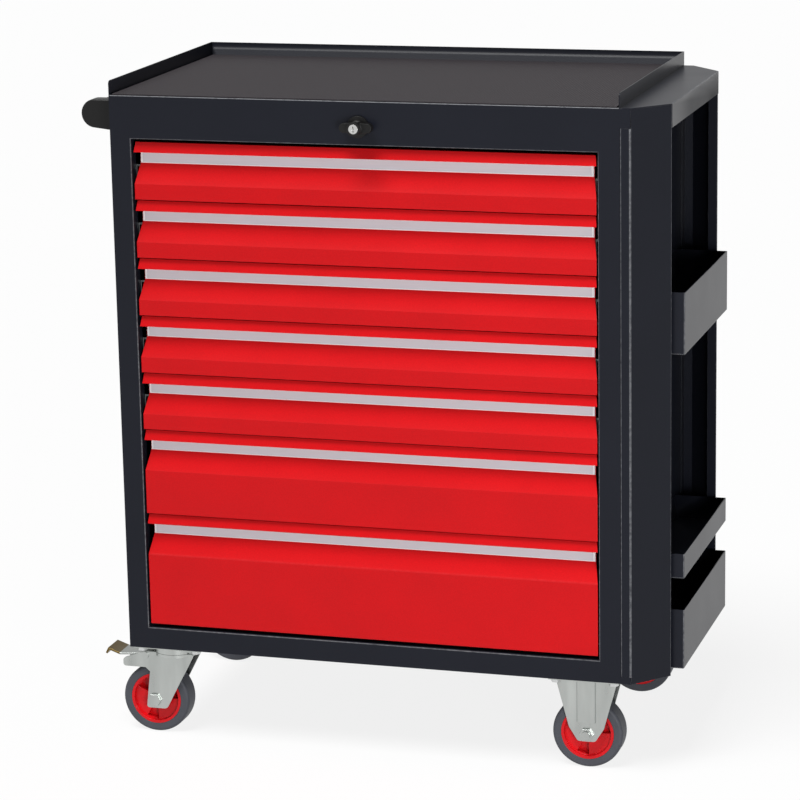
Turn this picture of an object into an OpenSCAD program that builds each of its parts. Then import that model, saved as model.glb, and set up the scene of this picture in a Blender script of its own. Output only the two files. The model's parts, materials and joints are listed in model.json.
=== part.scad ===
// Rolling tool cabinet: a folded sheet-steel body on four castors, seven drawers on telescopic slides,
// a lipped worktop, a push handle on the left and an open storage rack on the right.
// Millimetres. +Z is up and the drawer fronts face -Y. The origin is on the floor, in the middle of the
// whole outline. Modules draw from the cabinet's own datum: x from the middle of the main body,
// y back from the front face, z up from the floor.

/* [Body] */
// Width of the main body, without rack and handle
cabinet_w = 720; // [620:1:900]
// Depth of the body, front face to back
cabinet_d = 420; // [400:1:600]
// Thickness of the folded steel sheet
sheet_t = 1.2; // [0.8:0.1:2]
// Width of the upright strips beside the drawers
stile_w = 30; // [24:1:50]
// Height of the rail above the drawers
top_rail_h = 60; // [54:1:90]
// Height of the rail below the drawers
bottom_rail_h = 31; // [24:1:60]
// Depth of the folded edge around the drawer opening
frame_return = 18; // [8:1:20]
// Width of the folds along the panels' free edges
panel_fold = 20; // [10:1:24]

/* [Worktop] */
// Height of the raised lip on the left, back and right
lip_h = 20; // [10:1:40]
// Radius of the lip's front corners
lip_corner_r = 5; // [2:0.5:9]
// Thickness of the worktop mat
mat_t = 2; // [1:0.5:4]
// Gap between the mat and the lips
mat_margin = 3; // [1:0.5:10]

/* [Drawers] */
// Space taken by each of the five shallow drawers
shallow_h = 82; // [78:1:110]
// Space taken by the medium drawer
medium_h = 123; // [90:1:160]
// Space taken by the deep drawer
deep_h = 164; // [120:1:240]
// Gap between one drawer front and the next
drawer_gap = 2; // [1:0.5:4]
// Gap between the drawer fronts and the opening, above and below
opening_gap = 5; // [2:0.5:8]
// Gap between a drawer front's ends and the opening
end_gap = 2.5; // [1.5:0.5:5]
// How far the drawer fronts sit behind the frame's face
front_setback = 3; // [0:0.5:5]
// Height of the grip lip
grip_h = 14; // [10:0.5:16]
// How far the lip's top leans back
grip_lean = 4.5; // [2:0.5:7]
// Height of the finger recess below the lip
recess_h = 17; // [14:0.5:18]
// Depth of the finger recess
recess_depth = 13; // [10:0.5:15]
// Height of the slope from the recess to the flat face
slope_h = 27; // [16:0.5:28]
// How much narrower the recess is at each end
end_taper = 5; // [2:0.5:7]
// Thickness of the label strip
label_t = 1.5; // [1:0.25:3]
// Gap around the label strip
label_margin = 0.8; // [0.4:0.1:2]
// Length of a drawer box, front to back
box_len = 362; // [330:1:372]
// Height of the box floor above the front's lower edge
box_lift = 6; // [4:0.5:10]
// How far the box's rim stays below the front's top
box_drop = 16; // [12:0.5:20]
// How far a drawer pulls out
drawer_travel = 340; // [200:1:345]
// How much longer a slide is than its travel
slide_reserve = 10; // [5:1:10]

/* [Slides] */
// Height of a telescopic slide
slide_h = 35; // [30:0.5:36]
// Thickness of the slide's rolled strip
slide_t = 1.2; // [1:0.1:1.5]
// Width of a slide, from its carrier to the drawer box
slide_w = 12.6; // [11.5:0.1:14]
// Running gap between sliding members
slide_gap = 0.3; // [0.2:0.05:0.4]
// Height of the slide's lower edge above the drawer box's floor
slide_lift = 6; // [4:0.5:12]
// Depth of the uprights that carry the slides
upright_d = 40; // [20:1:60]
// Distance of the uprights from the slide's ends
upright_inset = 12; // [4:1:40]

/* [Side rack] */
// Reach of the rack's posts beyond the body
rack_out = 60; // [45:1:90]
// Width of the posts' flat strip beside the body
rack_flange = 14; // [8:1:24]
// Depth of the posts' slanted panel
chamfer_d = 51; // [30:1:58]
// Width of the posts' inner fold
rack_fold = 14; // [8:1:30]
// Width of the posts' fold along the body's side
rack_mount = 20; // [8:1:28]
// Height of the front rail's end above the seam
seam_top = 26; // [10:1:40]
// Height of the front rail's end below the seam
seam_bottom = 10; // [4:1:24]
// Height of the band under the rack's roof
header_h = 32; // [15:1:60]
// Reach of the trays beyond the body
tray_out = 76; // [62:1:110]
// Gap between the trays and the posts
tray_gap = 9; // [3:0.5:40]
// Height of the upper tray's walls
upper_tray_h = 86; // [40:1:120]
// Height of the upper tray's floor above the body's lower edge
upper_tray_z = 453; // [260:1:520]
// Height of the middle tray's walls
middle_tray_h = 35; // [15:1:60]
// Height of the middle tray's floor above the body's lower edge
middle_tray_z = 138; // [130:1:200]
// Height of the lower tray's walls
lower_tray_h = 85; // [40:1:115]
// Height of the lower tray's floor above the body's lower edge
lower_tray_z = 8; // [0:1:12]

/* [Push handle] */
// Reach of the handle beyond the body
handle_reach = 54; // [50:1:90]
// Radius of the handle brackets' round ends
handle_end_r = 20; // [17:0.5:22]
// Height of the brackets where they meet the body
handle_root_h = 44; // [42:1:70]
// Thickness of a bracket along the bar
bracket_w = 24; // [12:1:40]
// Radius of the handle bar
handle_bar_r = 15; // [10:0.5:16]
// Distance of the brackets' top below the worktop
handle_drop = 11; // [4:1:60]
// Distance of the brackets from the front and the back
handle_inset = 30; // [10:1:80]

/* [Lock] */
// Distance of the lock's axis below the worktop
lock_drop = 34; // [30:1:36]
// Radius of the knob's round base
knob_base_r = 15; // [12:0.5:18]
// Thickness of the knob's round base
knob_base_t = 6; // [3:0.5:9]
// Radius of the knob's barrel
knob_barrel_r = 9.5; // [8.5:0.25:11]
// How far the knob stands out of the front
knob_reach = 26; // [20:0.5:40]
// Width of the knob across its wings
wing_span = 46; // [34:1:60]
// Height of the wings
wing_h = 13; // [8:0.5:16]
// Thickness of the wings, front to back
wing_t = 11; // [6:0.5:12]
// Radius of the key cylinder
key_r = 6.5; // [5:0.25:7]
// Length of the key cylinder
key_len = 14; // [8:0.5:16]
// Width of the key slot
key_slot_w = 1.6; // [1:0.1:2.4]
// Height of the key slot
key_slot_h = 8; // [4:0.5:9]
// Radius of the rod that turns the lock
rod_r = 4; // [3:0.25:5]
// How far the lock bar travels
lock_travel = 9; // [8.5:0.25:10]
// Radius of the crank's pin
crank_pin_r = 2.5; // [2:0.25:3]
// Free play of the crank's pin in the bar's slot
crank_play = 0.6; // [0.4:0.1:1]
// Thickness of the crank's arm
crank_t = 4; // [3:0.5:5]
// Width of the lock bar
bar_w = 24; // [24:1:40]
// Thickness of the lock bar and its fingers
bar_t = 3; // [2:0.25:4]
// Width of the drawers' hooks and the bar's fingers
hook_w = 16; // [10:1:20]
// Height of the hooks' upturned edge
hook_h = 8; // [6:0.5:8]
// Gap between a finger and what it moves past
hook_gap = 2; // [1.5:0.25:2.5]

/* [Castors] */
// Diameter of the wheels
wheel_d = 100; // [75:1:125]
// Width of the tyres
wheel_w = 32; // [24:1:34]
// Thickness of the tyres
tyre_t = 12.5; // [6:0.5:16]
// Radius of the tyres' rounded shoulders
tyre_shoulder_r = 5; // [2:0.5:10]
// How far the wheels' hubs stand out of the tyres' sides
hub_out = 3; // [1:0.5:4]
// Radius of the wheels' hubs
hub_r = 12; // [9:0.5:15]
// Thickness of the rim's band and web
rim_t = 4; // [3:0.5:6]
// Depth of the dish in the rims' faces
dish_d = 5; // [2:0.5:8]
// Pockets in each face of a rim
pocket_count = 3; // [3:1:6]
// Angle taken by a pocket
pocket_angle = 32; // [10:1:40]
// Angle of the first pocket
pocket_turn = 16; // [0:1:120]
// Radius of the wheel axles
axle_r = 6; // [4:0.5:7]
// Radius of the hexagon heads on the axles
axle_head_r = 10; // [8:0.5:11]
// Thickness of the hexagon heads on the axles
axle_head_t = 4; // [2:0.5:6]
// How far a fixed castor's axle stands out of its nut
axle_tip = 2.5; // [0:0.5:5]
// Room between the tyre and the swivel's rivet
wheel_room = 12; // [6:1:30]
// Length of the castor plates, along the width
plate_l = 100; // [96:1:120]
// Depth of the castor plates
plate_d = 78; // [74:1:84]
// Thickness of the castor plates
plate_t = 3; // [2:0.5:6]
// Distance of the castor plates from the body's sides and ends
plate_inset = 4; // [2:0.5:20]
// Distance of the wheel axle behind the swivel axis
trail = 28; // [18:1:34]
// Thickness of the pressed forks
fork_t = 2.5; // [2:0.25:4]
// Width of the band pressed into the fixed forks' legs
band_w = 25; // [12:1:30]
// Height of that band
band_rise = 2; // [1:0.25:3]
// Gap between a hub's end and the fork
hub_gap = 0.4; // [0.2:0.1:0.8]
// Radius of the swivel's ball race
race_r = 32; // [26:1:34]
// Height of the ball race
race_h = 10; // [6:0.5:16]
// Thickness of the swivel fork's crown
crown_t = 5; // [3:0.5:8]
// Radius of the swivel rivet
kingpin_r = 6; // [5:0.5:8]
// Radius of the rivet's head
kingpin_head_r = 10; // [9:0.5:12]
// Height of the rivet's head
kingpin_head_h = 5; // [3:0.5:6]
// Reach of the brake pedal from the swivel axis
pedal_reach = 100; // [90:1:104]
// Length of the pedal's tread
pedal_tread = 20; // [12:1:26]
// Height of the tread's upturned edge
pedal_rise = 6; // [3:0.5:8]
// Thickness of the pedal's plate
pedal_t = 3; // [2:0.25:4]
// Radius of the pedal's pivot pin
pedal_pin_r = 3; // [2.5:0.25:4]
// Gap between the brake's shoe and the tyre
brake_gap = 7; // [6.5:0.5:10]
// Length of the brake's shoe
shoe_l = 10; // [6:0.5:14]
// Distance of the shoe from the pedal's pin
shoe_out = 19; // [16:1:20]
// Reach of the fork's brake housing beyond the pedal's pin
housing_l = 34; // [20:1:38]
// Radius of the castor bolts
bolt_r = 4; // [3:0.5:5]
// Distance between bolt holes along the plate
bolt_pitch_l = 82; // [80:1:84]
// Distance between bolt holes across the plate
bolt_pitch_d = 60; // [58:1:62]
// Width of the bolts' heads, corner to corner
bolt_head_d = 14; // [11:0.5:15]
// Height of the bolts' heads and nuts
bolt_head_h = 5; // [3:0.5:7]

/* [Fits] */
// Radial clearance of turning fits
turn_fit = 0.05; // [0.02:0.01:0.1]
// Gap between pieces that move past each other
clear = 0.3; // [0.2:0.05:0.5]
// Paint gap between pieces that are fixed to each other
seat = 0.1; // [0.05:0.05:0.2]

/* [Hidden] */
drawer_h = [shallow_h, shallow_h, shallow_h, shallow_h, shallow_h, medium_h, deep_h];
drawer_count = len(drawer_h);
// Castor levels, floor upwards
axle_z = wheel_d / 2;
rivet_z = wheel_d + wheel_room;
crown_z = rivet_z + kingpin_head_h + clear;
race_z = crown_z + crown_t + clear;
plate_z = race_z + race_h;
body_z = plate_z + plate_t;
// Body levels
function drawers_above(i) = i == 0 ? 0 : drawers_above(i - 1) + drawer_h[i - 1];
drawers_sum = drawers_above(drawer_count) - drawer_gap;
opening_z = body_z + bottom_rail_h;
opening_h = drawers_sum + 2 * opening_gap;
opening_top = opening_z + opening_h;
top_z = opening_top + top_rail_h;
half_w = cabinet_w / 2;
opening_half = half_w - stile_w;
front_half = opening_half - end_gap;
function front_top(i) = opening_top - opening_gap - drawers_above(i);
function front_h(i) = drawer_h[i] - drawer_gap;
function front_z(i) = front_top(i) - front_h(i);
// Drawer boxes and slides
recess_y = front_setback + recess_depth;
box_y = recess_y + sheet_t;
box_back = box_y + box_len;
slide_x = opening_half - clear;
box_half = slide_x - slide_w;
slide_y = box_y + clear;
slide_len = drawer_travel + slide_reserve;
function box_z(i) = front_z(i) + box_lift;
function box_h(i) = front_h(i) - box_lift - box_drop;
function slide_z(i) = box_z(i) + slide_lift + slide_h / 2;
// Lock, front to back: drawer hooks, fingers, bar
lock_z = top_z - lock_drop;
finger_y = box_back + hook_gap;
hook_edge_y = finger_y + bar_t + hook_gap;
bar_y = hook_edge_y + sheet_t + hook_gap;
crank_y = bar_y - clear - crank_t;
crank_r = lock_travel / sqrt(2);
back_inner = cabinet_d - 2 * sheet_t;
function hook_z(i) = box_z(i) + box_h(i) - hook_h - 2 * hook_gap - bar_t - sheet_t;
function finger_z(i) = hook_z(i) + sheet_t + hook_h + hook_gap;
finger_drop = lock_travel - hook_gap + clear;
// Castors
rim_r = wheel_d / 2 - tyre_t;
hub_len = wheel_w + 2 * hub_out;
fork_gap = hub_len / 2 + hub_gap;
fork_out = fork_gap + fork_t;
castor_x = half_w - plate_inset - plate_l / 2;
castor_y = [sheet_t + plate_inset + plate_d / 2, cabinet_d - plate_inset - plate_d / 2];
crown_top = crown_z + crown_t;
pedal_boss_r = pedal_pin_r + pedal_t;
pedal_pin = [-race_r - pedal_boss_r - fork_t, crown_top - pedal_boss_r];
leg_foot = axle_head_r + fork_t;
// Outline of the whole object, and its middle
left_reach = half_w + handle_reach;
tray_side = half_w + tray_out;
rack_edge = half_w + rack_flange;
rack_side = half_w + rack_out;
right_reach = max(tray_side, rack_side);
origin_x = (left_reach - right_reach) / 2;
origin_y = (knob_reach - cabinet_d) / 2;
// Finishes
anthracite = [0.14, 0.15, 0.18];
red = [0.78, 0.06, 0.06];
zinc = [0.74, 0.76, 0.75];
black = [0.06, 0.06, 0.06];
silver = [0.75, 0.76, 0.78];
grey_rubber = [0.26, 0.27, 0.29];
bronze = [0.45, 0.36, 0.20];
// Sides of round pieces, of wheels and of hexagon heads
$fn = 64;
wheel_sides = 96;
hexagon = 6;

// Points along an arc, counter-clockwise from angle a to angle b
function arc(centre, r, a, b, steps = 12) =
    [for (k = [0 : steps]) centre + r * [cos(a + (b - a) * k / steps), sin(a + (b - a) * k / steps)]];

// Left-hand normal of a segment
function normal(a, b) = [a[1] - b[1], b[0] - a[0]] / norm(b - a);

// Point i of a path, moved to its left by t with mitred corners
function mitre(path, i, t) =
    let (before = normal(path[max(i - 1, 0)], path[max(i, 1)]))
    let (after = normal(path[min(i, len(path) - 2)], path[min(i + 1, len(path) - 1)]))
    path[i] + t * (before + after) / (1 + before * after);

// Outline of a folded sheet: a path and the same path moved to its left
function folded(path, t) = concat(path, [for (i = [len(path) - 1 : -1 : 0]) mitre(path, i, t)]);

// Moves the cabinet's datum to the object's origin
module placed() {
    translate([origin_x, origin_y, 0]) children();
}

// Extrudes a drawing of depth and height along the width
module along_x(from, to) {
    translate([from, 0, 0]) rotate([90, 0, 90]) linear_extrude(to - from) children();
}

// Extrudes a drawing of width and height along the depth
module along_y(from, to) {
    translate([0, to, 0]) rotate([90, 0, 0]) linear_extrude(to - from) children();
}

// Extrudes a plan upwards
module along_z(from, to) {
    translate([0, 0, from]) linear_extrude(to - from) children();
}

// A block between two corners
module block(low, high) {
    translate(low) cube(high - low);
}

// A round bar along the depth
module rod_y(x, z, r, from, to, sides = $fn) {
    translate([x, from, z]) rotate([-90, 0, 0]) cylinder(r = r, h = to - from, $fn = sides);
}

// A copy of a left-hand piece on both sides of the body
module both_sides() {
    children();
    mirror([1, 0, 0]) children();
}

module side_panels() {
    color(anthracite) both_sides() along_z(body_z, top_z - sheet_t) polygon(folded([
        [-half_w + panel_fold, cabinet_d], [-half_w, cabinet_d],
        [-half_w, sheet_t], [-half_w + panel_fold, sheet_t]], sheet_t));
}

module back_panel() {
    color(anthracite) block([sheet_t - half_w, back_inner, body_z],
        [half_w - sheet_t, cabinet_d - sheet_t, top_z - sheet_t]);
}

// A pan between the panels, drilled for the castor bolts
module base_panel() {
    inner = half_w - sheet_t;
    color(anthracite) difference() {
        block([-inner, 2 * sheet_t, body_z], [inner, back_inner, body_z + panel_fold]);
        block([sheet_t - inner, 3 * sheet_t, body_z + sheet_t],
            [inner - sheet_t, back_inner - sheet_t, body_z + panel_fold + sheet_t]);
        castor_holes();
    }
}

// The front face, with folded edges around the opening and rail ends that meet the rack
module front_frame() {
    face_top = top_z - sheet_t;
    color(anthracite) difference() {
        union() {
            along_y(0, sheet_t) polygon([[-half_w, body_z], [rack_edge, body_z],
                [rack_edge, body_z + seam_bottom], [half_w, body_z + seam_bottom],
                [half_w, face_top - seam_top], [rack_edge, face_top - seam_top],
                [rack_edge, face_top], [-half_w, face_top]]);
            block([-opening_half - sheet_t, 0, opening_z - sheet_t],
                [opening_half + sheet_t, frame_return, opening_top + sheet_t]);
        }
        block([-opening_half, -sheet_t, opening_z], [opening_half, frame_return + sheet_t, opening_top]);
        rod_y(0, lock_z, rod_r + turn_fit, -sheet_t, 2 * sheet_t);
    }
}

module worktop_tray() {
    lip_top = top_z + lip_h;
    color(anthracite) union() {
        block([-half_w, 0, top_z - sheet_t], [half_w, cabinet_d, top_z]);
        block([-half_w, cabinet_d - sheet_t, top_z - sheet_t], [half_w, cabinet_d, lip_top]);
        both_sides() along_x(-half_w, sheet_t - half_w) polygon(concat(
            [[cabinet_d, lip_top]],
            arc([lip_corner_r, lip_top - lip_corner_r], lip_corner_r, 90, 180),
            [[0, top_z - sheet_t], [cabinet_d, top_z - sheet_t]]));
    }
}

module worktop_mat() {
    edge = half_w - sheet_t - mat_margin;
    back = cabinet_d - sheet_t - mat_margin;
    color(grey_rubber) block([-edge, mat_margin, top_z], [edge, back, top_z + mat_t]);
}

// Push handle
handle_x = handle_end_r - left_reach;
handle_z = top_z - handle_drop - handle_end_r;

module handle_bar() {
    color(black) rod_y(handle_x, handle_z, handle_bar_r,
        handle_inset + bracket_w, cabinet_d - handle_inset - bracket_w);
}

module handle_brackets() {
    centre = [handle_x, handle_z];
    root_top = handle_z + handle_end_r;
    root = [-half_w, root_top - handle_root_h];
    slant = root - centre;
    touch = 360 + atan2(slant[1], slant[0]) - acos(handle_end_r / norm(slant));
    ends = [handle_inset, cabinet_d - handle_inset - bracket_w];
    color(black) for (y = ends) along_y(y, y + bracket_w) polygon(concat(
        [[-half_w, root_top]], arc(centre, handle_end_r, 90, touch, 24), [root]));
}

// Side rack
module rack_post() {
    inner = half_w + seat;
    along_z(body_z, top_z - sheet_t) polygon(folded([[inner, rack_mount], [inner, 0], [rack_edge, 0],
        [rack_side, chamfer_d], [rack_side - rack_fold, chamfer_d]], sheet_t));
}

// The front post leaves room for the ends of the front's rails
module rack_posts() {
    low_notch = body_z + seam_bottom + seat;
    high_notch = top_z - sheet_t - seam_top - seat;
    color(anthracite) difference() {
        rack_post();
        block([half_w, -sheet_t, body_z - seat], [rack_edge, 2 * sheet_t, low_notch]);
        block([half_w, -sheet_t, high_notch], [rack_edge, 2 * sheet_t, top_z]);
    }
    color(anthracite) translate([0, cabinet_d, 0]) mirror([0, 1, 0]) rack_post();
}

// The rack's roof and the band under its outer edge
module rack_header() {
    back = cabinet_d - chamfer_d;
    color(anthracite) union() {
        along_z(top_z - sheet_t, top_z) polygon([[half_w, 0], [rack_edge, 0], [rack_side, chamfer_d],
            [rack_side, back], [rack_edge, cabinet_d], [half_w, cabinet_d]]);
        block([rack_side - sheet_t, chamfer_d, top_z - header_h], [rack_side, back, top_z]);
    }
}

// Each tray is an open box: height of its floor, height of its walls
trays = [[upper_tray_z, upper_tray_h], [middle_tray_z, middle_tray_h], [lower_tray_z, lower_tray_h]];

module rack_trays() {
    tray_y = chamfer_d + tray_gap;
    low = [half_w, tray_y, 0];
    high = [tray_side, cabinet_d - tray_y, 0];
    wall = [sheet_t, sheet_t, 0];
    color(anthracite) for (tray = trays) translate([0, 0, body_z + tray[0]]) difference() {
        block(low, high + [0, 0, tray[1]]);
        block(low + wall + [0, 0, sheet_t], high - wall + [0, 0, tray[1] + sheet_t]);
    }
}

// Telescopic slides. A section is drawn for the left side: x from the carrier towards the drawer,
// z from the slide's middle height. Each half-size follows from the one outside it.
middle_half = slide_h / 2 - slide_t - slide_gap;
inner_half = middle_half - slide_t - slide_gap;
middle_web = (slide_w - slide_t) / 2 - slide_gap;

// A channel: its web from x0, its flanges reaching from a to b
module channel(half, x0, a, b) {
    translate([x0, -half]) square([slide_t, 2 * half]);
    for (z = [-half, half - slide_t]) translate([a, z]) square([b - a, slide_t]);
}

module outer_member() {
    channel(slide_h / 2, 0, 0, slide_w - slide_t - slide_gap);
}

module middle_member() {
    channel(middle_half, middle_web, slide_t + slide_gap, slide_w - slide_t - slide_gap);
}

module inner_member() {
    inner_web = slide_w - slide_t - seat;
    channel(inner_half, inner_web, middle_web + slide_t + slide_gap, inner_web + slide_t);
}

// A pair of slide members for drawer i
module slide_pair(i) {
    both_sides() translate([-slide_x, 0, slide_z(i)]) along_y(slide_y, slide_y + slide_len) children();
}

// Outer members, and the uprights that join them to the side panels
module slide_rails() {
    uprights = [slide_y + upright_inset, slide_y + slide_len - upright_inset - upright_d];
    low = slide_z(drawer_count - 1) - slide_h / 2;
    high = slide_z(0) + slide_h / 2;
    color(zinc) for (i = [0 : drawer_count - 1]) slide_pair(i) outer_member();
    color(zinc) for (y = uprights) both_sides() along_z(low, high) polygon(folded([
        [sheet_t - half_w, y + upright_d], [-slide_x - seat, y + upright_d],
        [-slide_x - seat, y], [sheet_t - half_w, y]], -sheet_t));
}

// Outline of a drawer front, folded from one sheet: y back from the face, z up from its lower edge
function front_path(h) = [
    [box_y, 0],
    [front_setback, 0],
    [front_setback, h - grip_h - recess_h - slope_h],
    [recess_y, h - grip_h - recess_h],
    [recess_y, h - grip_h],
    [front_setback, h - grip_h],
    [front_setback + grip_lean, h],
    [box_y, h]];

module drawer_front(i) {
    back = box_y + sheet_t;
    narrow = end_taper * (back - front_setback) / recess_depth;
    color(red) translate([0, 0, front_z(i)]) intersection() {
        along_x(-front_half, front_half) polygon(folded(front_path(front_h(i)), -sheet_t));
        along_z(-sheet_t, front_h(i) + sheet_t) polygon([[-front_half, front_setback],
            [front_half, front_setback], [front_half - narrow, back], [narrow - front_half, back]]);
    }
}

// The open box behind a front, its inner slide members and the hook that the lock bar catches
module drawer_box(i) {
    low = [-box_half, box_y, box_z(i)];
    high = [box_half, box_back, box_z(i) + box_h(i)];
    wall = [sheet_t, sheet_t, 0];
    hook = hook_w / 2;
    edge_y = hook_edge_y + sheet_t;
    color(zinc) union() {
        difference() {
            block(low, high);
            block(low + wall + [0, 0, sheet_t], high - wall + [0, 0, sheet_t]);
        }
        along_x(-hook, hook) polygon(folded([[box_back - sheet_t, hook_z(i)],
            [edge_y, hook_z(i)], [edge_y, hook_z(i) + sheet_t + hook_h]], sheet_t));
    }
    color(zinc) slide_pair(i) inner_member();
}

module drawer_label(i) {
    high = front_top(i) - grip_h - label_margin;
    low = front_top(i) - grip_h - recess_h + label_margin;
    half = front_half - end_taper - label_margin;
    color(silver) block([-half, recess_y - label_t, low], [half, recess_y, high]);
}

module drawer_slides(i) {
    color(zinc) slide_pair(i) middle_member();
}

// Lock: a wing knob with a key cylinder turns a rod, whose crank lifts and drops the bar
module lock_knob() {
    wing_back = -knob_base_t;
    corner = wing_h / 2;
    color(black) difference() {
        union() {
            rod_y(0, lock_z, knob_base_r, -knob_base_t, -clear);
            rod_y(0, lock_z, knob_barrel_r, -knob_reach, -knob_base_t);
            along_y(wing_back - wing_t, wing_back) polygon(concat(
                arc([corner - wing_span / 2, lock_z], corner, 90, 270),
                arc([wing_span / 2 - corner, lock_z], corner, -90, 90)));
        }
        rod_y(0, lock_z, key_r + turn_fit, -knob_reach - clear, key_len - knob_reach);
        rod_y(0, lock_z, rod_r + turn_fit, key_len + clear - knob_reach, 0);
    }
}

module key_cylinder() {
    slot_half = key_slot_h / 2;
    color(silver) difference() {
        rod_y(0, lock_z, key_r, -knob_reach, key_len - knob_reach - clear);
        block([-key_slot_w / 2, -knob_reach - clear, lock_z - slot_half],
            [key_slot_w / 2, key_len / 2 - knob_reach, lock_z + slot_half]);
    }
}

// The crank's pin is level with the rod's upper right at rest, and lower right when locked
pin_offset = crank_r / sqrt(2);

module lock_rod() {
    color(zinc) union() {
        rod_y(0, lock_z, rod_r, key_len + clear - knob_reach, crank_y);
        rod_y(0, lock_z, 2 * rod_r, crank_y, crank_y + crank_t);
        rod_y(pin_offset, lock_z + pin_offset, crank_pin_r + sheet_t, crank_y, crank_y + crank_t);
        rod_y(pin_offset, lock_z + pin_offset, crank_pin_r, crank_y + crank_t, bar_y + bar_t + hook_gap);
    }
}

module lock_bar() {
    hook = hook_w / 2;
    slot_low = lock_z + pin_offset - crank_pin_r - crank_play;
    slot_high = lock_z + pin_offset + crank_pin_r + crank_play;
    bar_low = hook_z(drawer_count - 1);
    bar_high = slot_high + 2 * bar_t;
    color(zinc) union() {
        difference() {
            block([-bar_w / 2, bar_y, bar_low], [bar_w / 2, bar_y + bar_t, bar_high]);
            block([pin_offset - crank_pin_r - crank_play, bar_y - bar_t, slot_low],
                [crank_r + crank_pin_r + crank_play, bar_y + 2 * bar_t, slot_high]);
        }
        for (i = [0 : drawer_count - 1]) along_x(-hook, hook) polygon([
            [bar_y, finger_z(i) + finger_drop], [finger_y + bar_t, finger_z(i) + finger_drop],
            [finger_y + bar_t, finger_z(i)], [finger_y, finger_z(i)],
            [finger_y, finger_z(i) + finger_drop + bar_t], [bar_y, finger_z(i) + finger_drop + bar_t]]);
    }
}

// Bearing for the lock rod, hung from the worktop, and guides that hold the bar to the back panel
module lock_brackets() {
    bearing_y = crank_y - clear - 2 * bar_t;
    bearing_half = 3 * rod_r;
    guide_half = bar_w / 2 + 2 * bar_t;
    color(zinc) difference() {
        block([-bearing_half, bearing_y, lock_z - bearing_half],
            [bearing_half, bearing_y + bar_t, top_z - sheet_t]);
        rod_y(0, lock_z, rod_r + turn_fit, bearing_y - bar_t, bearing_y + 2 * bar_t);
    }
    color(zinc) for (i = [0, floor(drawer_count / 2), drawer_count - 1]) difference() {
        block([-guide_half, bar_y - clear - bar_t, box_z(i)],
            [guide_half, back_inner, box_z(i) + 4 * bar_t]);
        block([-bar_w / 2 - clear, bar_y - clear, box_z(i) - bar_t],
            [bar_w / 2 + clear, bar_y + bar_t + clear, box_z(i) + 5 * bar_t]);
    }
}

// Castors. Swivel castors with a brake stand on the left, fixed ones on the right.
module castor_holes() {
    for (x = [-castor_x, castor_x], y = castor_y, dx = [-0.5, 0.5], dy = [-0.5, 0.5])
        translate([x + dx * bolt_pitch_l, y + dy * bolt_pitch_d, plate_z - plate_t])
            cylinder(r = bolt_r + clear, h = 3 * plate_t + 2 * sheet_t);
}

module plate_blank(x, y) {
    block([x - plate_l / 2, y - plate_d / 2, plate_z], [x + plate_l / 2, y + plate_d / 2, body_z]);
}

// Plate, ball race and riveted swivel pin of a swivel castor
module swivel_plates() {
    color(zinc) for (y = castor_y) difference() {
        union() {
            plate_blank(-castor_x, y);
            translate([-castor_x, y, race_z]) cylinder(r = race_r, h = race_h);
            translate([-castor_x, y, rivet_z]) cylinder(r = kingpin_head_r, h = kingpin_head_h);
            translate([-castor_x, y, rivet_z]) cylinder(r = kingpin_r, h = plate_z - rivet_z);
        }
        castor_holes();
    }
}

// A pin through both legs of a fork, with a head at each end and a tip in front of one
module fork_pin(x, z, y, r, head_r, head_t, tip, sides) {
    inside = fork_out + seat;
    outside = inside + head_t;
    rod_y(x, z, r, y - outside - tip, y + outside);
    rod_y(x, z, head_r, y - outside, y - inside, sides);
    rod_y(x, z, head_r, y + inside, y + outside, sides);
}

// A wheel's axle: a bolt with hexagon ends
module axle(x, y, tip) {
    fork_pin(x, axle_z, y, axle_r, axle_head_r, axle_head_t, tip, hexagon);
}

// The hole for such a pin
module pin_hole(x, z, y, r) {
    rod_y(x, z, r + turn_fit, y - 2 * fork_out, y + 2 * fork_out);
}

// Both legs of a fork, from a drawing of width and height
module fork_legs(y) {
    along_y(y - fork_out, y - fork_gap) children();
    along_y(y + fork_gap, y + fork_out) children();
}

// One leg of a fixed fork, from the axle up
module fixed_leg() {
    rise = plate_z - axle_z;
    top = race_r + 5 * fork_t;
    foot = axle_head_r;
    polygon([[-leg_foot, -foot], [leg_foot, -foot], [2 * leg_foot, foot],
        [top, rise], [-top, rise], [-2 * leg_foot, foot]]);
}

// The band pressed into a fixed fork's leg, on the side that it stands out to
module leg_band(y, side) {
    root = y + side * (fork_out - fork_t / 2);
    crest = y + side * (fork_out + band_rise);
    foot = band_w / 2 + band_rise;
    along_z(axle_z + 3 * axle_r, plate_z) polygon([[castor_x - foot, root], [castor_x - band_w / 2, crest],
        [castor_x + band_w / 2, crest], [castor_x + foot, root]]);
}

module fixed_forks() {
    color(zinc) for (y = castor_y) {
        difference() {
            union() {
                plate_blank(castor_x, y);
                fork_legs(y) translate([castor_x, axle_z]) fixed_leg();
                leg_band(y, -1);
                leg_band(y, 1);
            }
            pin_hole(castor_x, axle_z, y, axle_r);
            castor_holes();
        }
        axle(castor_x, y, axle_tip);
    }
}

// One leg of a swivel fork: x from the swivel axis, z from the floor
module swivel_leg() {
    pin_x = pedal_pin[0];
    boss = pedal_boss_r;
    housing = pin_x - housing_l;
    polygon([[-trail - leg_foot, axle_z - leg_foot], [leg_foot + boss - trail, axle_z - leg_foot],
        [race_r + fork_t, crown_top], [pin_x, crown_top], [housing, crown_top - 2 * boss],
        [housing, crown_top - 4 * boss], [pin_x, crown_top - 4 * boss],
        [-trail - boss, crown_top - 5 * boss]]);
}

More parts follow.
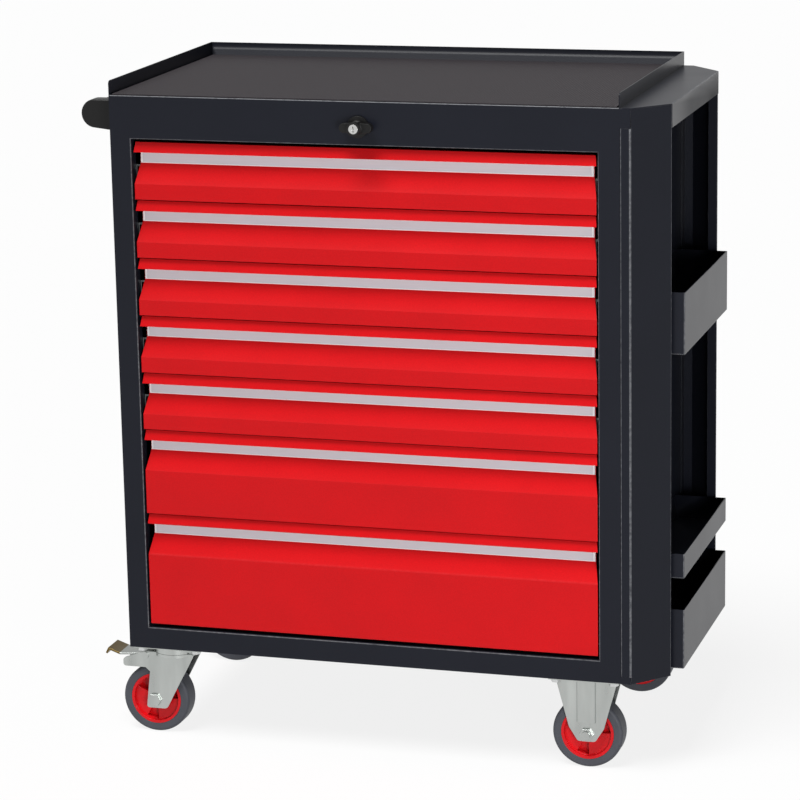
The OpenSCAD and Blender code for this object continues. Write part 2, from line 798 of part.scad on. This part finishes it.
module swivel_fork(y) {
    color(zinc) translate([-castor_x, 0, 0]) {
        difference() {
            union() {
                translate([0, y, crown_z]) cylinder(r = race_r, h = crown_t);
                block([-race_r / 2, y - fork_out, crown_z], [race_r / 2, y + fork_out, crown_top]);
                fork_legs(y) swivel_leg();
            }
            translate([0, y, crown_z - crown_t]) cylinder(r = kingpin_r + turn_fit, h = 3 * crown_t);
            pin_hole(-trail, axle_z, y, axle_r);
            pin_hole(pedal_pin[0], pedal_pin[1], y, pedal_pin_r);
        }
        axle(-trail, y, 0);
        fork_pin(pedal_pin[0], pedal_pin[1], y, pedal_pin_r, pedal_pin_r + fork_t, fork_t / 2, 0, $fn);
    }
}

// A lever on the fork's pin, with a tread plate outside and a shoe above the tyre
module brake_pedal(y) {
    lever_half = fork_gap - clear;
    shoe_half = wheel_w / 4;
    pin_x = pedal_pin[0];
    pin_z = pedal_pin[1];
    tread_x = pedal_tread - pedal_reach;
    tread_z = pin_z - pedal_t;
    shoe_x = pin_x - shoe_out;
    shoe_z = axle_z + brake_gap + sqrt(pow(wheel_d / 2, 2) - pow(shoe_x + trail, 2));
    color(bronze) translate([-castor_x, 0, 0]) difference() {
        union() {
            rod_y(pin_x, pin_z, pedal_boss_r, y - lever_half, y + lever_half);
            along_y(y - lever_half, y + lever_half) polygon(folded([[-pedal_reach, tread_z],
                [pedal_t - pedal_reach, tread_z + pedal_rise], [tread_x, tread_z],
                [pin_x - pedal_pin_r, pin_z]], pedal_t));
            block([shoe_x - shoe_l, y - shoe_half, shoe_z], [shoe_x, y + shoe_half, tread_z + pedal_t]);
        }
        pin_hole(pin_x, pin_z, y, pedal_pin_r);
    }
}

// A tyre with rounded shoulders, round its rim
module tyre(x, y) {
    half = wheel_w / 2;
    shoulder = wheel_d / 2 - tyre_shoulder_r;
    color(grey_rubber) translate([x, y, axle_z]) rotate([90, 0, 0]) rotate_extrude($fn = wheel_sides)
        polygon(concat([[rim_r, -half]],
            arc([shoulder, tyre_shoulder_r - half], tyre_shoulder_r, -90, 0),
            arc([shoulder, half - tyre_shoulder_r], tyre_shoulder_r, 0, 90),
            [[rim_r, half]]));
}

// Pockets between a rim's hub and its band, from z a to z b
module rim_pockets(a, b) {
    inner = hub_r + rim_t / 2;
    outer = rim_r - 3 * rim_t / 2;
    spread = tan(pocket_angle / 2);
    for (k = [0 : pocket_count - 1]) rotate(pocket_turn + 360 * k / pocket_count) along_z(a, b)
        polygon([[inner, -inner * spread], [outer, -outer * spread],
            [outer, outer * spread], [inner, inner * spread]]);
}

// A rim with a band, a dished web with pockets on both faces and a bored hub
module rim(x, y) {
    half = wheel_w / 2;
    band = rim_r - rim_t;
    web = half - dish_d;
    color(red) translate([x, y, axle_z]) rotate([90, 0, 0]) difference() {
        union() {
            translate([0, 0, -half]) difference() {
                cylinder(r = rim_r, h = wheel_w);
                translate([0, 0, -half]) cylinder(r = band, h = 2 * wheel_w);
            }
            translate([0, 0, -web]) cylinder(r = band + rim_t / 4, h = 2 * web);
            translate([0, 0, -hub_len / 2]) cylinder(r = hub_r, h = hub_len);
        }
        rim_pockets(rim_t / 2, half);
        rim_pockets(-half, -rim_t / 2);
        translate([0, 0, -hub_len]) cylinder(r = axle_r + turn_fit, h = 2 * hub_len);
    }
}

// Bolts through the castor plates and the base, with a head below and a nut above
module castor_bolts() {
    head = bolt_head_d / 2;
    nut_z = bolt_head_h + plate_t + sheet_t;
    color(silver) for (x = [-castor_x, castor_x], y = castor_y, dx = [-0.5, 0.5], dy = [-0.5, 0.5])
        translate([x + dx * bolt_pitch_l, y + dy * bolt_pitch_d, plate_z - bolt_head_h]) {
            cylinder(r = head, h = bolt_head_h, $fn = hexagon);
            cylinder(r = bolt_r, h = nut_z + bolt_head_h + bolt_r);
            translate([0, 0, nut_z]) cylinder(r = head, h = bolt_head_h, $fn = hexagon);
        }
}

placed() {
    side_panels();
    back_panel();
    base_panel();
    front_frame();
    worktop_tray();
    worktop_mat();
    handle_bar();
    handle_brackets();
    rack_posts();
    rack_header();
    rack_trays();
    slide_rails();
    lock_brackets();
    swivel_plates();
    fixed_forks();
    castor_bolts();
    for (i = [0 : drawer_count - 1]) {
        drawer_front(i);
        drawer_box(i);
        drawer_label(i);
        drawer_slides(i);
    }
    swivel_fork(castor_y[0]);  // swivel_fork_front
    swivel_fork(castor_y[1]);  // swivel_fork_rear
    brake_pedal(castor_y[0]);  // brake_pedal_front
    brake_pedal(castor_y[1]);  // brake_pedal_rear
    tyre(-castor_x - trail, castor_y[0]);  // tyre_front_left
    tyre(-castor_x - trail, castor_y[1]);  // tyre_rear_left
    tyre(castor_x, castor_y[0]);  // tyre_front_right
    tyre(castor_x, castor_y[1]);  // tyre_rear_right
    rim(-castor_x - trail, castor_y[0]);  // rim_front_left
    rim(-castor_x - trail, castor_y[1]);  // rim_rear_left
    rim(castor_x, castor_y[0]);  // rim_front_right
    rim(castor_x, castor_y[1]);  // rim_rear_right
    lock_knob();
    lock_rod();
    lock_bar();
    key_cylinder();
}
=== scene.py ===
"""Looks of the rolling tool cabinet: rounded sheet edges, paints, metals and rubbers, a plain studio
and the camera.

Metres, in the part's own frame: +Z up, the drawer fronts face -Y, the rack is on +X.
"""

import json
import math

import bmesh
import bpy
from mathutils import Matrix, Vector


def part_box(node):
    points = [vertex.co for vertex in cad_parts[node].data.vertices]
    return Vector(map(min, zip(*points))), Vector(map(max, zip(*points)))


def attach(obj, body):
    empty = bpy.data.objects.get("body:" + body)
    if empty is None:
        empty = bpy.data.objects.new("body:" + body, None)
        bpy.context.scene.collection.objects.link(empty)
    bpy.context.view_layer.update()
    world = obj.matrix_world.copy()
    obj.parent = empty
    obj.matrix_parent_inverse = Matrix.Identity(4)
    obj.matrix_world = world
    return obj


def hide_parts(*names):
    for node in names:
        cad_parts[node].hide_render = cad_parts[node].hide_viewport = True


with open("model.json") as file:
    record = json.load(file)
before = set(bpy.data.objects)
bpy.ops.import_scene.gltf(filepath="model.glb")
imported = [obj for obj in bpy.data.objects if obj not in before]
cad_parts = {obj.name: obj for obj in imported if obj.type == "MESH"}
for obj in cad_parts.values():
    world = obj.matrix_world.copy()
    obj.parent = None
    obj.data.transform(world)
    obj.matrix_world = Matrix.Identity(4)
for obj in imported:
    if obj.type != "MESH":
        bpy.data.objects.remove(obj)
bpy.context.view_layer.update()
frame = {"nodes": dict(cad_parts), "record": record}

NODES = frame["nodes"]
BODY_OF = {
    node: body for body, members in frame["record"]["behaviour"]["bodies"].items() for node in members
}
SLOT_OF = {part["node"]: part["material_slot"] for part in frame["record"]["subparts"]}

MM = 0.001
# Points closer than SAME are one point, and a point closer to a plane than NEAR lies in it.
SAME = 0.001 * MM
NEAR = 0.1 * MM
# The face attribute that says how strongly a painted highlight lies on a face at a fold or edge, and on the
# mat how deep in a groove a face lies, which sets its painted shade.
FOLD = "fold"

DRAWERS = range(1, 8)
CASTOR_PLACES = ("front", "rear")
WHEELS = ("front_left", "rear_left", "front_right", "rear_right")


# Shader maths

class Field:
    """A value that varies over a surface. Arithmetic on it adds the nodes that work it out."""

    def __init__(self, tree, socket):
        self.tree = tree
        self.socket = socket

    def node(self, kind, inputs, output=0, **settings):
        """Any other node: its inputs by name or number, its settings, and the output wanted."""
        made = self.tree.nodes.new(kind)
        for name, value in settings.items():
            setattr(made, name, value)
        for name, value in inputs.items():
            if isinstance(value, Field):
                self.tree.links.new(value.socket, made.inputs[name])
            else:
                made.inputs[name].default_value = value
        return Field(self.tree, made.outputs[output])

    def math(self, operation, *values):
        return self.node("ShaderNodeMath", dict(enumerate(values)), operation=operation)

    def __add__(self, other):
        return self.math("ADD", self, other)

    def __radd__(self, other):
        return self.math("ADD", other, self)

    def __sub__(self, other):
        return self.math("SUBTRACT", self, other)

    def __rsub__(self, other):
        return self.math("SUBTRACT", other, self)

    def __mul__(self, other):
        return self.math("MULTIPLY", self, other)

    def __rmul__(self, other):
        return self.math("MULTIPLY", other, self)

    def __gt__(self, other):
        return self.math("GREATER_THAN", self, other)

    def __abs__(self):
        return self.math("ABSOLUTE", self)

    def larger(self, other):
        return self.math("MAXIMUM", self, other)


class Paint:
    """A material on one Principled shader, with the piece's own coordinates as `place`."""

    def __init__(self, name, colour, roughness, **constants):
        self.material = bpy.data.materials.new(name)
        self.material.use_nodes = True
        self.tree = self.material.node_tree
        self.shader = self.tree.nodes["Principled BSDF"]
        self.shader.inputs["Base Color"].default_value = (*colour, 1)
        self.shader.inputs["Roughness"].default_value = roughness
        for socket, value in constants.items():
            self.shader.inputs[socket.replace("_", " ")].default_value = value
        self.place = Field(self.tree, self.tree.nodes.new("ShaderNodeTexCoord").outputs["Object"])

    def feed(self, socket, field):
        self.tree.links.new(field.socket, self.shader.inputs[socket])

    def noise(self, size, detail=2.0, tall=1.0):
        """Noise with features of that size in metres, drawn out upwards by the factor tall."""
        place = self.place.node("ShaderNodeMapping", {"Vector": self.place, "Scale": (1, 1, 1 / tall)})
        return place.node("ShaderNodeTexNoise", {"Vector": place, "Scale": 1 / size, "Detail": detail})

    def axis(self, letter):
        return self.place.node("ShaderNodeSeparateXYZ", {0: self.place}, output="XYZ".index(letter))

    def folds(self):
        return self.place.node("ShaderNodeAttribute", {}, output="Fac", attribute_name=FOLD)

    def mix(self, share, low, high):
        low, high = (shade if isinstance(shade, Field) else (*shade, 1) for shade in (low, high))
        return self.place.node("ShaderNodeMix", {0: share, 6: low, 7: high}, output=2, data_type="RGBA")

    def uneven_gloss(self, field, middle, spread):
        """Roughness that follows the field, with the spread halved on either side of the middle."""
        self.feed("Roughness", field * spread + (middle - spread / 2))

    def bump(self, height, strength, distance):
        inputs = {"Height": height, "Strength": strength, "Distance": distance}
        self.feed("Normal", height.node("ShaderNodeBump", inputs))


def tinted(colour, share):
    """The colour, made darker or paler by that factor."""
    return [min(1, channel * share) for channel in colour]


# Paints, metals and rubbers

COAT_CLOUD = 80 * MM
COAT_GRIT = 1.6 * MM
COAT_BUMP = 0.15 * MM
# The speckles of the painted highlight on folds are about this size.
GLINT_SPECKLE = 5 * MM
MOULD_CLOUD = 25 * MM
MOULD_GRAIN = 1.2 * MM
MOULD_BUMP = 0.15 * MM
MAT_GRAIN = 1.1 * MM
MAT_BUMP = 0.2 * MM
LABEL_END = 3 * MM
TREAD = 22 * MM
DARKER = 0.8
PALER = 1.2
ZINC = (0.43, 0.45, 0.435)


def powder_coat(name, colour, glint_colour, grain, roughness, specular):
    """Textured powder coat: a fine grain, a slight unevenness, and a speckled painted highlight on the
    folds.
    """
    paint = Paint(name, colour, roughness, Specular_IOR_Level=specular)
    cloud = paint.noise(COAT_CLOUD)
    grit = paint.noise(COAT_GRIT, detail=1)
    coat = paint.mix(cloud * 0.4 + grit * 0.6, tinted(colour, DARKER), tinted(colour, PALER))
    # Painted highlight: the fold faces turn speckled paler, like glints of light on a rounded fold.
    glint_speckle = paint.folds() * paint.noise(GLINT_SPECKLE, detail=1)
    paint.feed("Base Color", paint.mix(glint_speckle, coat, glint_colour))
    paint.uneven_gloss(cloud, roughness, spread=0.06)
    paint.bump(grit, grain, COAT_BUMP)
    return paint


def plated(name, colour, roughness, spangle, tall=1.0, depth=0.08):
    """Plated steel, clouded in patches of the spangle's size; drawn out upwards by tall, the patches are
    partly painted streaks of reflection.
    """
    paint = Paint(name, colour, roughness, Metallic=1.0)
    cloud = paint.noise(spangle, detail=3, tall=tall)
    paint.uneven_gloss(cloud, roughness, spread=0.2)
    paint.feed("Base Color", paint.mix(cloud, tinted(colour, 1 - 2 * depth), tinted(colour, 1 + 2 * depth)))
    return paint


def pedal_plate(name, tread, lever, roughness, spangle):
    """Yellow chromate on the pedal's tread, plain zinc on the lever behind it."""
    paint = Paint(name, tread, roughness, Metallic=1.0)
    paint.uneven_gloss(paint.noise(spangle, detail=3), roughness, spread=0.2)
    tread_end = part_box("brake_pedal_front")[0].x + TREAD
    paint.feed("Base Color", paint.mix(paint.axis("X") > tread_end, tread, lever))
    return paint


def moulding(name, colour, roughness, specular, grain):
    """Moulded plastic or rubber: a fine grain, slightly uneven in shade and gloss."""
    paint = Paint(name, colour, roughness, Specular_IOR_Level=specular)
    cloud = paint.noise(MOULD_CLOUD)
    paint.feed("Base Color", paint.mix(cloud, tinted(colour, DARKER), tinted(colour, PALER)))
    paint.uneven_gloss(cloud, roughness, spread=0.16)
    paint.bump(paint.noise(MOULD_GRAIN, detail=1), grain, MOULD_BUMP)
    return paint


def ribbed_rubber(name, colour):
    """The mat's rubber, with painted shade in the grooves between its ribs and a painted highlight on their
    tops.
    """
    paint = Paint(name, colour, 0.6, Specular_IOR_Level=0.12)
    # Painted shade in the grooves, painted highlight on the rib tops.
    paint.feed("Base Color", paint.mix(paint.folds(), tinted(colour, 1.15), tinted(colour, 0.7)))
    paint.bump(paint.noise(MAT_GRAIN, detail=1), 0.2, MAT_BUMP)
    return paint


def label_card(name, colour):
    """Plain insert strip, paler along its edges and ends, where its clear cover is turned over: a painted
    highlight of the light the cover catches there.
    """
    low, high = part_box("drawer_1_label")
    paint = Paint(name, colour, 0.38, Specular_IOR_Level=0.4)
    ends = abs(paint.axis("X") - (low.x + high.x) / 2) > (high.x - low.x) / 2 - LABEL_END
    # Painted highlight on the turned-over edges and at the ends of the clear cover.
    paint.feed("Base Color", paint.mix(ends.larger(paint.folds()), colour, tinted(colour, 1.4)))
    return paint


PAINTS = {
    # Each coat's glint colour is the painted highlight on its folds.
    "anthracite_paint": powder_coat(
        "anthracite powder coat", (0.0105, 0.0118, 0.0180), glint_colour=(0.20, 0.205, 0.22),
        grain=0.25, roughness=0.32, specular=0.14),
    "red_paint": powder_coat(
        "red powder coat", (0.61, 0.003, 0.006), glint_colour=(0.66, 0.02, 0.024),
        grain=0.15, roughness=0.34, specular=0.22),
    "drawer_box_steel": powder_coat(
        "drawer box powder coat", (0.020, 0.022, 0.027), glint_colour=(0.06, 0.062, 0.066),
        grain=0.25, roughness=0.5, specular=0.3),
    "mat_rubber": ribbed_rubber("ribbed mat", (0.041, 0.036, 0.040)),
    "black_plastic": moulding(
        "black plastic", (0.009, 0.009, 0.009), roughness=0.38, specular=0.22, grain=0.25),
    # The zinc's upright light and dark streaks are uneven plating and partly painted reflection.
    "zinc_steel": plated("zinc plate", ZINC, roughness=0.3, spangle=22 * MM, tall=6, depth=0.15),
    # The slides are darker than zinc, partly as painted shade where they show in the gaps beside the drawer
    # fronts.
    "slide_steel": plated("dull zinc plate", (0.20, 0.21, 0.215), roughness=0.42, spangle=15 * MM),
    "bolt_steel": plated("bolt steel", (0.60, 0.61, 0.61), roughness=0.3, spangle=11 * MM),
    "label_strip": label_card("label strip", (0.71, 0.70, 0.75)),
    "chromate_steel": pedal_plate(
        "yellow chromate", (0.15, 0.105, 0.038), ZINC, roughness=0.34, spangle=16 * MM),
    "grey_tyre": moulding(
        "grey tyre", (0.070, 0.074, 0.088), roughness=0.55, specular=0.3, grain=0.2),
    "red_rim": moulding(
        "red moulding", (0.68, 0.007, 0.012), roughness=0.3, specular=0.25, grain=0.08),
    "key_silver": plated("nickel", (0.58, 0.58, 0.57), roughness=0.25, spangle=5 * MM),
}


# How a piece is made from its node's solids

BODY_SHEET = 1.2 * MM
FORK_SHEET = 2.5 * MM
BROAD_FACE = 3 * MM
CUT_EDGE = 0.25 * MM
FORK_EDGE = 0.4 * MM
# Angles between two faces, in degrees: in one plane, at a fold, at a solid's edge, at a sheet's cut edge.
FLAT_ANGLE = 0.4
FOLD_ANGLE = 12
EDGE_ANGLE = 40
CUT_ANGLE = 60
# A fold's usual radius in millimetres, as the pieces give theirs.
FOLD_RADIUS = 1.6
# A rib and its groove take this many columns of the mat's mesh, half of them for each.
RIB_COLUMNS = 4
# The least cosine of a direction that counts as along an axis, and of a face that counts as a top.
ALONG = 0.99
TOPMOST = 0.5


def copied(node):
    """The node's solids as one mesh of whole flat faces."""
    bm = bmesh.new()
    bm.from_mesh(NODES[node].data)
    bm.faces.layers.float.new(FOLD)
    bmesh.ops.remove_doubles(bm, verts=bm.verts, dist=SAME)
    bmesh.ops.dissolve_limit(bm, angle_limit=math.radians(FLAT_ANGLE), verts=bm.verts, edges=bm.edges)
    for face in bm.faces:
        face.material_index = 0
    return bm


def breadth(face):
    """About how wide a face is across its longest edge."""
    return face.calc_area() / max(edge.calc_length() for edge in face.edges)


def corners(bm, broad=0.0, angle=28, wanted=None):
    """Outward corners of at least that many degrees, between faces at least that broad."""
    found = []
    for edge in bm.edges:
        if len(edge.link_faces) != 2 or not edge.is_convex:
            continue
        if edge.calc_face_angle() < math.radians(angle):
            continue
        if min(breadth(face) for face in edge.link_faces) < broad:
            continue
        if wanted is None or wanted(edge):
            found.append(edge)
    return found


def rounded(bm, edges, width, segments, glint=1.0):
    """Rounds the edges and marks the new faces with how strongly a painted highlight lies on them."""
    made = bmesh.ops.bevel(
        bm, geom=edges, offset=width, offset_type="OFFSET", affect="EDGES", segments=segments,
        profile=0.5, material=-1, clamp_overlap=True)
    fold = bm.faces.layers.float[FOLD]
    for face in made["faces"]:
        face[fold] = glint


def piece(bm, node, sharp=40):
    """An object made of bm that stands for the node and moves with it."""
    name = node + "_looks"
    mesh = bpy.data.meshes.new(name)
    bm.to_mesh(mesh)
    bm.free()
    mesh.shade_smooth()
    mesh.set_sharp_from_angle(angle=math.radians(sharp))
    slot = SLOT_OF[node]
    mesh.materials.append(PAINTS[slot].material)
    made = bpy.data.objects.new(name, mesh)
    bpy.context.scene.collection.objects.link(made)
    even = made.modifiers.new("flat faces stay flat", "WEIGHTED_NORMAL")
    even.keep_sharp = True
    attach(made, BODY_OF[node])
    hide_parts(node)


def fold_corners(bm):
    """The folds of a sheet, and no edges of its thickness."""
    return corners(bm, broad=BROAD_FACE, angle=FOLD_ANGLE)


def folded_sheet(node, radius=FOLD_RADIUS, corner=0.0):
    """Sheet metal: round corners and folds, and a slight break on the cut edges."""
    bm = copied(node)
    if corner:
        cut = corners(bm, wanted=lambda edge: edge.calc_length() < 1.3 * BODY_SHEET)
        rounded(bm, cut, corner * MM, segments=4)
    rounded(bm, fold_corners(bm), radius * MM, segments=3)
    rounded(bm, corners(bm, angle=CUT_ANGLE), CUT_EDGE, segments=1)
    piece(bm, node)


def softened(node, width, segments):
    """A solid piece with rounded edges."""
    bm = copied(node)
    rounded(bm, corners(bm, angle=EDGE_ANGLE), width * MM, segments)
    piece(bm, node)


def worktop(node, roll):
    """The worktop's sheet, rolled over at its front edge between the lips."""
    low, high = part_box(node)
    bm = copied(node)

    def at_front(edge):
        if edge.calc_length() < (high.x - low.x) / 2:
            return False
        return all(vert.co.y < low.y + NEAR and vert.co.z > low.z + NEAR for vert in edge.verts)

    lip_ends = [vert.co.x for edge in corners(bm, wanted=at_front) for vert in edge.verts]
    for end in lip_ends:
        bmesh.ops.bisect_plane(
            bm, geom=[*bm.verts, *bm.edges, *bm.faces], dist=SAME,
            plane_co=(end, 0, 0), plane_no=(1, 0, 0))
    # The rolled front edge gets a doubled painted highlight, a bright line of light along it.
    rounded(bm, corners(bm, wanted=at_front), roll * MM, segments=3, glint=2.0)
    rounded(bm, fold_corners(bm), FOLD_RADIUS * MM, segments=3)
    piece(bm, node)


def ribbed_mat(node, edge_width, pitch, depth):
    """The worktop's mat: ribs from front to back, with a groove after each, and a plain border."""
    low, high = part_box(node)
    bm = copied(node)
    rounded(bm, corners(bm, angle=EDGE_ANGLE), edge_width * MM, segments=2, glint=0.0)
    start = low.x + edge_width * MM
    columns = RIB_COLUMNS * round((high.x - low.x) / (pitch * MM))
    step = (high.x - low.x - 2 * edge_width * MM) / columns
    across = [edge for edge in bm.edges if edge.calc_length() > step * (columns - 1)]
    bmesh.ops.subdivide_edges(bm, edges=across, cuts=columns - 1, use_grid_fill=True)
    for vert in bm.verts:
        column = round((vert.co.x - start) / step)
        in_groove = column % RIB_COLUMNS >= RIB_COLUMNS / 2
        if in_groove and RIB_COLUMNS < column < columns - RIB_COLUMNS:
            vert.co.z = min(vert.co.z, high.z - depth * MM)
    bm.normal_update()
    # Top faces in a groove get the painted shade, in the share of their corners that are sunk.
    fold = bm.faces.layers.float[FOLD]
    for face in bm.faces:
        if face.normal.z > TOPMOST:
            sunk = [vert for vert in face.verts if vert.co.z < high.z - depth * MM / 2]
            face[fold] = len(sunk) / len(face.verts)
    piece(bm, node)


def covered_label(node, turned):
    """A label strip in a clear cover that is turned over along its edges."""
    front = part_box(node)[0].y + NEAR
    bm = copied(node)
    rim = corners(bm, wanted=lambda edge: all(vert.co.y < front for vert in edge.verts))
    # The turned rim is marked for the label's painted highlight.
    rounded(bm, rim, turned * MM, segments=2)
    piece(bm, node)


def fork(node, corner):
    """A pressed fork with round corners and broken edges."""
    bm = copied(node)
    through = Vector((0, 1, 0))

    def across_sheet(edge):
        along = (edge.verts[1].co - edge.verts[0].co).normalized()
        return abs(edge.calc_length() - FORK_SHEET) < NEAR / 2 and abs(along.dot(through)) > ALONG

    rounded(bm, corners(bm, wanted=across_sheet), corner * MM, segments=4)
    rounded(bm, corners(bm, angle=EDGE_ANGLE), FORK_EDGE, segments=1)
    piece(bm, node, sharp=20)


# The pieces, with radii and widths in millimetres

for name in ("side_panels", "base_panel", "front_frame", "rack_posts", "rack_header", "rack_trays"):
    folded_sheet(name)
worktop("worktop_tray", roll=1.0)
softened("back_panel", 0.3, 1)
ribbed_mat("worktop_mat", edge_width=0.6, pitch=4, depth=0.6)
softened("handle_bar", 1.0, 2)
softened("handle_brackets", 2.5, 4)
for number in DRAWERS:
    folded_sheet(f"drawer_{number}_front", radius=1.5, corner=3)
    folded_sheet(f"drawer_{number}_box", radius=1.0)
    covered_label(f"drawer_{number}_label", turned=1.2)
    softened(f"drawer_{number}_slides", 0.15, 1)
softened("slide_rails", 0.15, 1)
softened("lock_brackets", 0.3, 1)
softened("swivel_plates", 0.6, 2)
fork("fixed_forks", corner=3)
softened("castor_bolts", 0.5, 2)
for place in CASTOR_PLACES:
    fork(f"swivel_fork_{place}", corner=4)
    softened(f"brake_pedal_{place}", 0.7, 2)
for wheel in WHEELS:
    softened(f"tyre_{wheel}", 0.8, 2)
    softened(f"rim_{wheel}", 0.8, 2)
softened("lock_knob", 0.9, 3)
softened("lock_rod", 0.3, 1)
softened("lock_bar", 0.3, 1)
softened("key_cylinder", 0.5, 2)


# Studio

FLOOR_HALF = 40
WORLD_LIGHT = 0.1
CABINET_MIDDLE = (0, 0, 0.5)


def seen(tree, reflected):
    """1 where the camera looks, the share reflected for mirrors and glass, 0 for bounced light."""
    looks = tree.nodes.new("ShaderNodeLightPath")
    rays = ("Is Camera Ray", "Is Glossy Ray", "Is Transmission Ray")
    camera, glossy, through = (Field(tree, looks.outputs[ray]) for ray in rays)
    return camera.larger(glossy.larger(through) * reflected)


def whitened(tree, shader, output, share, reflected):
    """Mixes white into what is seen, and leaves the light that bounces off it."""
    fraction = seen(tree, reflected) * share
    white = fraction.node("ShaderNodeEmission", {"Strength": 1})
    plain = Field(tree, shader.outputs[0])
    mixed = fraction.node("ShaderNodeMixShader", {0: fraction, 1: plain, 2: white})
    tree.links.new(mixed.socket, tree.nodes[output].inputs["Surface"])


def pale_floor():
    """A plain floor at the wheels' feet that shows white and keeps the cabinet's shadow."""
    bm = bmesh.new()
    bmesh.ops.create_grid(bm, x_segments=1, y_segments=1, size=FLOOR_HALF)
    mesh = bpy.data.meshes.new("floor")
    bm.to_mesh(mesh)
    bm.free()
    plane = bpy.data.objects.new("floor", mesh)
    bpy.context.scene.collection.objects.link(plane)
    pale = (0.9, 0.9, 0.9)
    bounced = (0.4, 0.4, 0.4)
    paint = Paint("pale floor", pale, 0.9, Specular_IOR_Level=0.0)
    paint.feed("Base Color", paint.mix(seen(paint.tree, 1.0), bounced, pale))
    whitened(paint.tree, paint.shader, "Material Output", share=0.85, reflected=1.0)
    mesh.materials.append(paint.material)


def facing(spot, aim):
    """The turn of a lamp or camera at that spot that looks at the aim."""
    return (Vector(aim) - Vector(spot)).to_track_quat("-Z", "Y")


def lamp(name, kind, spot, energy, **settings):
    """A lamp that looks at the cabinet's middle."""
    data = bpy.data.lights.new(name, kind)
    data.energy = energy
    for key, value in settings.items():
        setattr(data, key, value)
    made = bpy.data.objects.new(name, data)
    bpy.context.scene.collection.objects.link(made)
    made.location = spot
    made.rotation_euler = facing(spot, CABINET_MIDDLE).to_euler()


def white_world():
    """A white backdrop that sheds little light on the cabinet."""
    world = bpy.data.worlds.new("studio")
    world.use_nodes = True
    around = world.node_tree.nodes["Background"]
    around.inputs["Color"].default_value = (1, 1, 1, 1)
    around.inputs["Strength"].default_value = WORLD_LIGHT
    whitened(world.node_tree, around, "World Output", share=1.0, reflected=0.6)
    bpy.context.scene.world = world


def aimed_camera(spot, aim, roll, lens):
    """The camera, turned about its own axis by roll in degrees, with its lens in millimetres."""
    data = bpy.data.cameras.new("camera")
    data.sensor_width = 36
    data.lens = lens
    made = bpy.data.objects.new("camera", data)
    bpy.context.scene.collection.objects.link(made)
    turn = facing(spot, aim).to_matrix() @ Matrix.Rotation(math.radians(roll), 3, "Z")
    made.matrix_world = Matrix.Translation(spot) @ turn.to_4x4()
    bpy.context.scene.camera = made


pale_floor()
lamp("overhead", "SUN", spot=(-0.6, -1.4, 4), energy=3.0, angle=math.radians(30))
lamp("key softbox", "AREA", spot=(2.0, -3.3, 0.45), energy=76, shape="RECTANGLE", size=1.2, size_y=1.2)
white_world()
bpy.context.scene.view_settings.view_transform = "Standard"
aimed_camera(spot=(1.278, -4.306, 1.5606), aim=(-0.0192, 0, 0.4710), roll=-1.06, lens=144.9)
